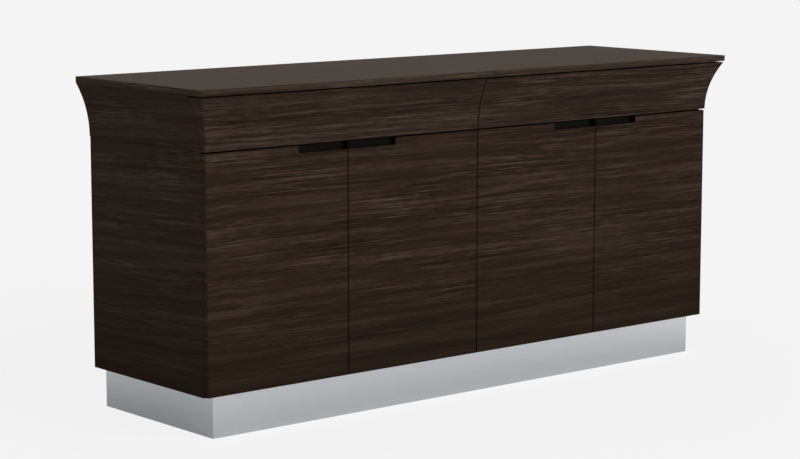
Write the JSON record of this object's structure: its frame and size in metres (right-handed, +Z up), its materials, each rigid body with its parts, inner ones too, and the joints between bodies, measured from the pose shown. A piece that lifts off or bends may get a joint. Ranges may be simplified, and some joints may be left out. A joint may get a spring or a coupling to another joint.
{
  "type": "office credenza",
  "caption": "Long office credenza: hinged doors under cove-fronted drawers, thin overhanging top, recessed metal plinth, black finger pulls.",
  "frame": {"origin": "on the floor, under the middle of the top panel's outline", "axes": "+X to the right along the front, +Y to the back, +Z up"},
  "size_m": [1.8, 0.54, 0.85],
  "materials": {
    "dark_veneer": "satin lacquered dark walnut veneer, grain along the length",
    "case_lining": "matt dark brown melamine-faced board",
    "drawer_board": "plain lacquered drawer board",
    "satin_metal": "satin brushed silver facing",
    "black_pull": "matt black",
    "nickel_steel": "nickel plated pressed steel",
    "zinc_steel": "bright zinc plated rolled steel"
  },
  "bodies": {
    "case": {"back_panel": "case_lining", "bottom_panel": "case_lining", "centre_partition": "case_lining", "door_1_lower_hinge_arm": "nickel_steel", "door_1_upper_hinge_arm": "nickel_steel", "door_2_lower_hinge_arm": "nickel_steel", "door_2_upper_hinge_arm": "nickel_steel", "door_3_lower_hinge_arm": "nickel_steel", "door_3_upper_hinge_arm": "nickel_steel", "door_4_lower_hinge_arm": "nickel_steel", "door_4_upper_hinge_arm": "nickel_steel", "left_deck": "case_lining", "left_drawer_inner_case_runner": "zinc_steel", "left_drawer_outer_case_runner": "zinc_steel", "left_shelf": "case_lining", "left_side_cove": "dark_veneer", "left_side_panel": "dark_veneer", "plinth_brace": "case_lining", "plinth_front": "satin_metal", "plinth_left": "satin_metal", "plinth_rear": "satin_metal", "plinth_right": "satin_metal", "right_deck": "case_lining", "right_drawer_inner_case_runner": "zinc_steel", "right_drawer_outer_case_runner": "zinc_steel", "right_shelf": "case_lining", "right_side_cove": "dark_veneer", "right_side_panel": "dark_veneer", "top_panel": "dark_veneer"},
    "door_1": {"door_1_lower_cup": "nickel_steel", "door_1_panel": "dark_veneer", "door_1_pull": "black_pull", "door_1_upper_cup": "nickel_steel"},
    "door_2": {"door_2_lower_cup": "nickel_steel", "door_2_panel": "dark_veneer", "door_2_pull": "black_pull", "door_2_upper_cup": "nickel_steel"},
    "door_3": {"door_3_lower_cup": "nickel_steel", "door_3_panel": "dark_veneer", "door_3_pull": "black_pull", "door_3_upper_cup": "nickel_steel"},
    "door_4": {"door_4_lower_cup": "nickel_steel", "door_4_panel": "dark_veneer", "door_4_pull": "black_pull", "door_4_upper_cup": "nickel_steel"},
    "left_drawer": {"left_drawer_back": "drawer_board", "left_drawer_base": "drawer_board", "left_drawer_front": "dark_veneer", "left_drawer_inner_drawer_runner": "zinc_steel", "left_drawer_inner_wall": "drawer_board", "left_drawer_outer_drawer_runner": "zinc_steel", "left_drawer_outer_wall": "drawer_board"},
    "right_drawer": {"right_drawer_back": "drawer_board", "right_drawer_base": "drawer_board", "right_drawer_front": "dark_veneer", "right_drawer_inner_drawer_runner": "zinc_steel", "right_drawer_inner_wall": "drawer_board", "right_drawer_outer_drawer_runner": "zinc_steel", "right_drawer_outer_wall": "drawer_board"}
  },
  "joints": [
    {"name": "door_1_hinge", "type": "hinge", "parent": "case", "child": "door_1", "pos_m": [-0.86, -0.23, 0.4], "axis": [0, 0, -1], "range_deg": [0, 110]},
    {"name": "door_2_hinge", "type": "hinge", "parent": "case", "child": "door_2", "pos_m": [-0.0015, -0.23, 0.4], "axis": [0, 0, 1], "range_deg": [0, 90]},
    {"name": "door_3_hinge", "type": "hinge", "parent": "case", "child": "door_3", "pos_m": [0.0015, -0.23, 0.4], "axis": [0, 0, -1], "range_deg": [0, 90]},
    {"name": "door_4_hinge", "type": "hinge", "parent": "case", "child": "door_4", "pos_m": [0.86, -0.23, 0.4], "axis": [0, 0, 1], "range_deg": [0, 110]},
    {"name": "left_drawer_slide", "type": "slide", "parent": "case", "child": "left_drawer", "axis": [0, -1, 0], "range_m": [0, 0.33]},
    {"name": "right_drawer_slide", "type": "slide", "parent": "case", "child": "right_drawer", "axis": [0, -1, 0], "range_m": [0, 0.33]}
  ]
}
